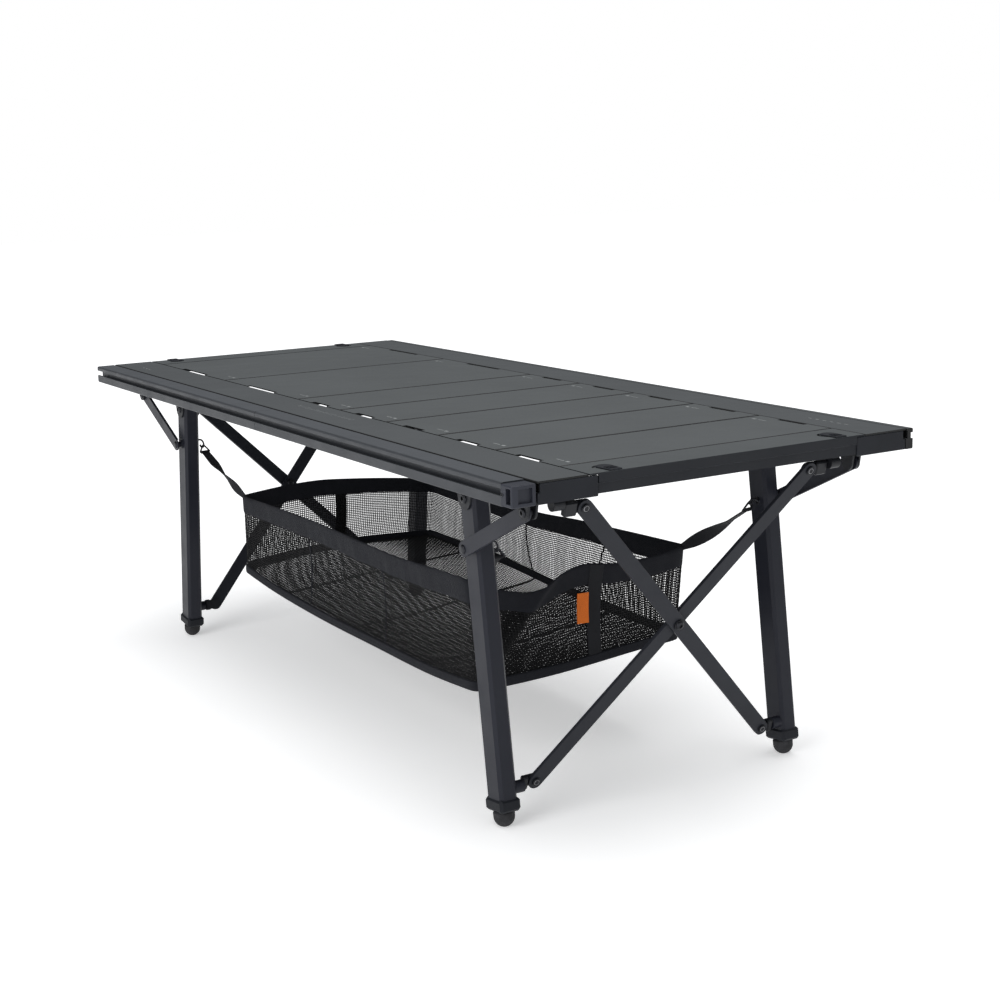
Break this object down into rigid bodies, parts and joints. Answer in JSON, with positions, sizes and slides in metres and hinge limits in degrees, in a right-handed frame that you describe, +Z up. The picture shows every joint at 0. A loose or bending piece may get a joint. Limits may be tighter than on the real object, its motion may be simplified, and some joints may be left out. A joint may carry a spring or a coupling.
{
  "type": "camp kitchen table",
  "caption": "Low folding camp kitchen table with drop-in top panels, box rails, splayed strutted legs, end X-braces, a slotted accessory rail and a hanging mesh basket.",
  "frame": {"origin": "centre of the bounding box at floor level", "axes": "+X along the table's length towards the end whose accessory rail has the moulded cap, -Y towards the long side with the accessory rail, +Z up"},
  "size_m": [1.23, 0.5192, 0.41],
  "materials": {
    "rail_front": "fine matte powder coat, dark grey",
    "rail_rear": "fine matte powder coat, dark grey",
    "rail_trim_rear": "fine matte powder coat, dark grey",
    "accessory_rail_left": "fine matte powder coat, dark grey",
    "accessory_rail_right": "fine matte powder coat, dark grey",
    "accessory_cap_left": "moulded, dark grey",
    "accessory_cap_right": "moulded, dark grey",
    "storage_basket": "black mesh and webbing",
    "rail_plug_front_left": "moulded, dark grey",
    "rail_plug_front_right": "moulded, dark grey",
    "rail_plug_rear_left": "moulded, dark grey",
    "rail_plug_rear_right": "moulded, dark grey",
    "leg_bracket_front_left": "black powder coat",
    "rail_end_bracket_front_left": "black powder coat",
    "leg_bracket_rear_left": "black powder coat",
    "rail_end_bracket_rear_left": "black powder coat",
    "leg_bracket_front_right": "black powder coat",
    "rail_end_bracket_front_right": "black powder coat",
    "leg_bracket_rear_right": "black powder coat",
    "rail_end_bracket_rear_right": "black powder coat",
    "leg_front_right": "fine matte powder coat, dark grey",
    "leg_collar_front_right": "moulded, dark grey",
    "leg_rear_right": "fine matte powder coat, dark grey",
    "leg_collar_rear_right": "moulded, dark grey",
    "leg_front_left": "fine matte powder coat, dark grey",
    "leg_collar_front_left": "moulded, dark grey",
    "leg_rear_left": "fine matte powder coat, dark grey",
    "leg_collar_rear_left": "moulded, dark grey",
    "strut_front_right": "fine matte powder coat, dark grey",
    "strut_rear_right": "fine matte powder coat, dark grey",
    "strut_front_left": "fine matte powder coat, dark grey",
    "strut_rear_left": "fine matte powder coat, dark grey",
    "brace_bar_right_a": "matte, dark grey",
    "brace_bar_right_b": "matte, dark grey",
    "brace_block_right_a_bottom": "black powder coat",
    "brace_block_right_a_top": "black powder coat",
    "brace_block_right_b_bottom": "black powder coat",
    "brace_block_right_b_top": "black powder coat",
    "brace_pivot_right": "black powder coat",
    "brace_bar_left_a": "matte, dark grey",
    "brace_bar_left_b": "matte, dark grey",
    "brace_block_left_a_bottom": "black powder coat",
    "brace_block_left_a_top": "black powder coat",
    "brace_block_left_b_bottom": "black powder coat",
    "brace_block_left_b_top": "black powder coat",
    "brace_pivot_left": "black powder coat",
    "foot_front_right": "matte",
    "foot_rear_right": "matte",
    "foot_front_left": "matte",
    "foot_rear_left": "matte",
    "panel_1": "fine matte powder coat, dark grey",
    "panel_2": "fine matte powder coat, dark grey",
    "panel_3": "fine matte powder coat, dark grey",
    "panel_4": "fine matte powder coat, dark grey",
    "panel_5": "fine matte powder coat, dark grey",
    "panel_6": "fine matte powder coat, dark grey",
    "panel_7": "fine matte powder coat, dark grey",
    "end_beam_left": "fine matte powder coat, dark grey",
    "end_beam_right": "fine matte powder coat, dark grey"
  },
  "bodies": {
    "frame": {"rail_front": "rail_front", "rail_rear": "rail_rear", "rail_trim_rear": "rail_trim_rear", "accessory_rail_left": "accessory_rail_left", "accessory_rail_right": "accessory_rail_right", "accessory_cap_left": "accessory_cap_left", "accessory_cap_right": "accessory_cap_right", "storage_basket": "storage_basket", "rail_plug_front_left": "rail_plug_front_left", "rail_plug_front_right": "rail_plug_front_right", "rail_plug_rear_left": "rail_plug_rear_left", "rail_plug_rear_right": "rail_plug_rear_right", "leg_bracket_front_left": "leg_bracket_front_left", "rail_end_bracket_front_left": "rail_end_bracket_front_left", "leg_bracket_rear_left": "leg_bracket_rear_left", "rail_end_bracket_rear_left": "rail_end_bracket_rear_left", "leg_bracket_front_right": "leg_bracket_front_right", "rail_end_bracket_front_right": "rail_end_bracket_front_right", "leg_bracket_rear_right": "leg_bracket_rear_right", "rail_end_bracket_rear_right": "rail_end_bracket_rear_right"},
    "leg_front_right_assembly": {"leg_front_right": "leg_front_right", "leg_collar_front_right": "leg_collar_front_right"},
    "leg_rear_right_assembly": {"leg_rear_right": "leg_rear_right", "leg_collar_rear_right": "leg_collar_rear_right"},
    "leg_front_left_assembly": {"leg_front_left": "leg_front_left", "leg_collar_front_left": "leg_collar_front_left"},
    "leg_rear_left_assembly": {"leg_rear_left": "leg_rear_left", "leg_collar_rear_left": "leg_collar_rear_left"},
    "strut_front_right": {"strut_front_right": "strut_front_right"},
    "strut_rear_right": {"strut_rear_right": "strut_rear_right"},
    "strut_front_left": {"strut_front_left": "strut_front_left"},
    "strut_rear_left": {"strut_rear_left": "strut_rear_left"},
    "brace_right": {"brace_bar_right_a": "brace_bar_right_a", "brace_bar_right_b": "brace_bar_right_b", "brace_block_right_a_bottom": "brace_block_right_a_bottom", "brace_block_right_a_top": "brace_block_right_a_top", "brace_block_right_b_bottom": "brace_block_right_b_bottom", "brace_block_right_b_top": "brace_block_right_b_top", "brace_pivot_right": "brace_pivot_right"},
    "brace_left": {"brace_bar_left_a": "brace_bar_left_a", "brace_bar_left_b": "brace_bar_left_b", "brace_block_left_a_bottom": "brace_block_left_a_bottom", "brace_block_left_a_top": "brace_block_left_a_top", "brace_block_left_b_bottom": "brace_block_left_b_bottom", "brace_block_left_b_top": "brace_block_left_b_top", "brace_pivot_left": "brace_pivot_left"},
    "foot_front_right_adjuster": {"foot_front_right": "foot_front_right"},
    "foot_rear_right_adjuster": {"foot_rear_right": "foot_rear_right"},
    "foot_front_left_adjuster": {"foot_front_left": "foot_front_left"},
    "foot_rear_left_adjuster": {"foot_rear_left": "foot_rear_left"},
    "panel_1_tray": {"panel_1": "panel_1"},
    "panel_2_tray": {"panel_2": "panel_2"},
    "panel_3_tray": {"panel_3": "panel_3"},
    "panel_4_tray": {"panel_4": "panel_4"},
    "panel_5_tray": {"panel_5": "panel_5"},
    "panel_6_tray": {"panel_6": "panel_6"},
    "panel_7_tray": {"panel_7": "panel_7"},
    "beam_left": {"end_beam_left": "end_beam_left"},
    "beam_right": {"end_beam_right": "end_beam_right"}
  },
  "joints": [
    {"name": "fold_front_right", "type": "hinge", "parent": "frame", "child": "leg_front_right_assembly", "pos_m": [0.421, -0.18765, 0.359], "axis": [0, 1, 0], "range_deg": [0, 95], "deforming": ["storage_basket"]},
    {"name": "fold_rear_right", "type": "hinge", "parent": "frame", "child": "leg_rear_right_assembly", "pos_m": [0.421, 0.20635, 0.359], "axis": [0, 1, 0], "range_deg": [0, 95]},
    {"name": "fold_front_left", "type": "hinge", "parent": "frame", "child": "leg_front_left_assembly", "pos_m": [-0.421, -0.18765, 0.359], "axis": [0, -1, 0], "range_deg": [0, 95]},
    {"name": "fold_rear_left", "type": "hinge", "parent": "frame", "child": "leg_rear_left_assembly", "pos_m": [-0.421, 0.20635, 0.359], "axis": [0, -1, 0], "range_deg": [0, 95]},
    {"name": "strut_fold_front_right", "type": "hinge", "parent": "frame", "child": "strut_front_right", "pos_m": [0.556, -0.20705, 0.367], "axis": [0, 1, 0], "range_deg": [0, 25]},
    {"name": "strut_fold_rear_right", "type": "hinge", "parent": "frame", "child": "strut_rear_right", "pos_m": [0.556, 0.22575, 0.367], "axis": [0, 1, 0], "range_deg": [0, 25]},
    {"name": "strut_fold_front_left", "type": "hinge", "parent": "frame", "child": "strut_front_left", "pos_m": [-0.556, -0.20705, 0.367], "axis": [0, -1, 0], "range_deg": [0, 25]},
    {"name": "strut_fold_rear_left", "type": "hinge", "parent": "frame", "child": "strut_rear_left", "pos_m": [-0.556, 0.22575, 0.367], "axis": [0, -1, 0], "range_deg": [0, 25]},
    {"name": "brace_fold_right", "type": "hinge", "parent": "leg_front_right_assembly", "child": "brace_right", "pos_m": [0.46697, 0.00935, 0.04204], "axis": [0, 1, 0], "range_deg": [-22, 0]},
    {"name": "brace_fold_left", "type": "hinge", "parent": "leg_front_left_assembly", "child": "brace_left", "pos_m": [-0.46697, 0.00935, 0.04204], "axis": [0, -1, 0], "range_deg": [-22, 0]},
    {"name": "foot_screw_front_right", "type": "slide", "parent": "leg_front_right_assembly", "child": "foot_front_right_adjuster", "axis": [0.1219, 0, -0.9925], "range_m": [0, 0.015]},
    {"name": "foot_screw_rear_right", "type": "slide", "parent": "leg_rear_right_assembly", "child": "foot_rear_right_adjuster", "axis": [0.1219, 0, -0.9925], "range_m": [0, 0.015]},
    {"name": "foot_screw_front_left", "type": "slide", "parent": "leg_front_left_assembly", "child": "foot_front_left_adjuster", "axis": [-0.1219, 0, -0.9925], "range_m": [0, 0.015]},
    {"name": "foot_screw_rear_left", "type": "slide", "parent": "leg_rear_left_assembly", "child": "foot_rear_left_adjuster", "axis": [-0.1219, 0, -0.9925], "range_m": [0, 0.015]},
    {"name": "panel_1_lift", "type": "slide", "parent": "frame", "child": "panel_1_tray", "axis": [0, 0, 1], "range_m": [0, 0.03]},
    {"name": "panel_2_lift", "type": "slide", "parent": "frame", "child": "panel_2_tray", "axis": [0, 0, 1], "range_m": [0, 0.03]},
    {"name": "panel_3_lift", "type": "slide", "parent": "frame", "child": "panel_3_tray", "axis": [0, 0, 1], "range_m": [0, 0.03]},
    {"name": "panel_4_lift", "type": "slide", "parent": "frame", "child": "panel_4_tray", "axis": [0, 0, 1], "range_m": [0, 0.03]},
    {"name": "panel_5_lift", "type": "slide", "parent": "frame", "child": "panel_5_tray", "axis": [0, 0, 1], "range_m": [0, 0.03]},
    {"name": "panel_6_lift", "type": "slide", "parent": "frame", "child": "panel_6_tray", "axis": [0, 0, 1], "range_m": [0, 0.03]},
    {"name": "panel_7_lift", "type": "slide", "parent": "frame", "child": "panel_7_tray", "axis": [0, 0, 1], "range_m": [0, 0.03]},
    {"name": "beam_left_lift", "type": "slide", "parent": "frame", "child": "beam_left", "axis": [0, 0, 1], "range_m": [0, 0.03]},
    {"name": "beam_right_lift", "type": "slide", "parent": "frame", "child": "beam_right", "axis": [0, 0, 1], "range_m": [0, 0.03]}
  ],
  "couplings": [
    {"joint": "fold_rear_right", "follows": "fold_front_right", "ratio": 1},
    {"joint": "fold_front_left", "follows": "fold_front_right", "ratio": 1},
    {"joint": "fold_rear_left", "follows": "fold_front_right", "ratio": 1},
    {"joint": "strut_fold_front_right", "follows": "fold_front_right", "ratio": 0.25},
    {"joint": "strut_fold_rear_right", "follows": "fold_front_right", "ratio": 0.25},
    {"joint": "strut_fold_front_left", "follows": "fold_front_right", "ratio": 0.25},
    {"joint": "strut_fold_rear_left", "follows": "fold_front_right", "ratio": 0.25},
    {"joint": "brace_fold_right", "follows": "fold_front_right", "ratio": -0.225},
    {"joint": "brace_fold_left", "follows": "fold_front_right", "ratio": -0.225}
  ]
}
